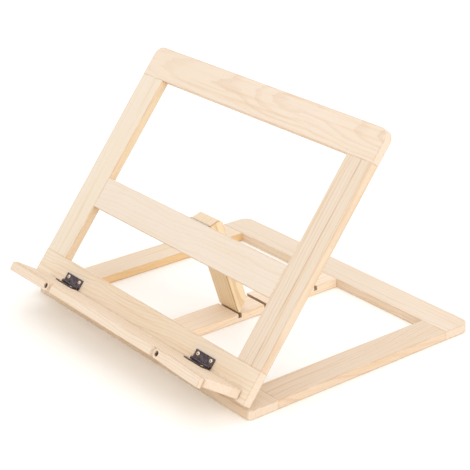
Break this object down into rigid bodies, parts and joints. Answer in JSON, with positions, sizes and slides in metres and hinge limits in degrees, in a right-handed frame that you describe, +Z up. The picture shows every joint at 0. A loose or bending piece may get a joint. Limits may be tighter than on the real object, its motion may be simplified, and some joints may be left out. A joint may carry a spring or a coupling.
{
  "type": "book display stand",
  "caption": "Folding wooden book stand: an easel frame hinged on a flat base frame, propped by a strut in slots, with a hinged ledge and turning page holders.",
  "frame": {"origin": "middle of the base frame's footprint, on the underside of its centre rail, which is on the table", "axes": "+Z up, -Y towards the reader, the side of the easel's hinges and the ledge; +X to the reader's right, along the hinges"},
  "size_m": [0.305, 0.2818, 0.2032],
  "materials": {
    "pine": "sanded, unvarnished pale pine",
    "beech_dowel": "plain turned dowel, glued in",
    "antique_bronze": "dark bronze plating, worn to brass at the edges",
    "brass_screw": "dull brass plating",
    "dark_steel": "dark plated steel",
    "pale_steel": "plain dull steel"
  },
  "bodies": {
    "base": {"base_front_rail": "pine", "base_rear_rail": "pine", "base_left_rail": "pine", "base_centre_rail": "pine", "base_right_rail": "pine", "base_front_left_dowel": "beech_dowel", "base_front_right_dowel": "beech_dowel", "base_rear_left_dowel": "beech_dowel", "base_rear_right_dowel": "beech_dowel", "base_hinge_left_base_leaf": "antique_bronze", "base_hinge_left_pin": "dark_steel", "base_hinge_left_base_screw_1": "brass_screw", "base_hinge_left_base_screw_2": "brass_screw", "base_hinge_right_base_leaf": "antique_bronze", "base_hinge_right_pin": "dark_steel", "base_hinge_right_base_screw_1": "brass_screw", "base_hinge_right_base_screw_2": "brass_screw"},
    "easel": {"easel_top_rail": "pine", "easel_bottom_rail": "pine", "easel_left_stile": "pine", "easel_right_stile": "pine", "easel_cross_rail": "pine", "easel_bottom_left_dowel": "beech_dowel", "easel_bottom_right_dowel": "beech_dowel", "easel_top_left_dowel": "beech_dowel", "easel_top_right_dowel": "beech_dowel", "base_hinge_left_easel_leaf": "antique_bronze", "base_hinge_left_easel_screw_1": "brass_screw", "base_hinge_left_easel_screw_2": "brass_screw", "ledge_hinge_left_rail_leaf": "antique_bronze", "ledge_hinge_left_pin": "dark_steel", "ledge_hinge_left_rail_screw_1": "brass_screw", "ledge_hinge_left_rail_screw_2": "brass_screw", "base_hinge_right_easel_leaf": "antique_bronze", "base_hinge_right_easel_screw_1": "brass_screw", "base_hinge_right_easel_screw_2": "brass_screw", "ledge_hinge_right_rail_leaf": "antique_bronze", "ledge_hinge_right_pin": "dark_steel", "ledge_hinge_right_rail_screw_1": "brass_screw", "ledge_hinge_right_rail_screw_2": "brass_screw", "strut_hinge_rail_leaf": "pale_steel", "strut_hinge_pin": "pale_steel", "strut_hinge_rail_screw_1": "brass_screw", "strut_hinge_rail_screw_2": "brass_screw"},
    "strut": {"strut": "pine", "strut_hinge_strut_leaf": "pale_steel", "strut_hinge_strut_screw_1": "brass_screw", "strut_hinge_strut_screw_2": "brass_screw"},
    "ledge": {"ledge_board": "pine", "ledge_hinge_left_ledge_leaf": "antique_bronze", "ledge_hinge_left_ledge_screw_1": "brass_screw", "ledge_hinge_left_ledge_screw_2": "brass_screw", "left_page_holder_screw": "dark_steel", "ledge_hinge_right_ledge_leaf": "antique_bronze", "ledge_hinge_right_ledge_screw_1": "brass_screw", "ledge_hinge_right_ledge_screw_2": "brass_screw", "right_page_holder_screw": "dark_steel"},
    "page_holder_left": {"left_page_holder": "pine"},
    "page_holder_right": {"right_page_holder": "pine"}
  },
  "joints": [
    {"name": "easel_tilt", "type": "hinge", "parent": "base", "child": "easel", "pos_m": [0, -0.1183, 0.0098], "axis": [1, 0, 0], "range_deg": [-41.5, 18]},
    {"name": "strut_swing", "type": "hinge", "parent": "easel", "child": "strut", "pos_m": [0, -0.05058, 0.09648], "axis": [1, 0, 0], "range_deg": [-53.2, 122.5]},
    {"name": "ledge_fold", "type": "hinge", "parent": "easel", "child": "ledge", "pos_m": [0.0065, -0.12042, 0.02593], "axis": [-1, 0, 0], "range_deg": [0, 94]},
    {"name": "left_holder_turn", "type": "hinge", "parent": "ledge", "child": "page_holder_left", "pos_m": [-0.0739, -0.15848, 0.0446], "axis": [0, 0.829, -0.5592], "range_deg": [-60, 100]},
    {"name": "right_holder_turn", "type": "hinge", "parent": "ledge", "child": "page_holder_right", "pos_m": [0.0869, -0.15848, 0.0446], "axis": [0, -0.829, 0.5592], "range_deg": [-60, 100]}
  ],
  "couplings": [
    {"joint": "strut_swing", "follows": "easel_tilt", "ratio": -2.95}
  ]
}
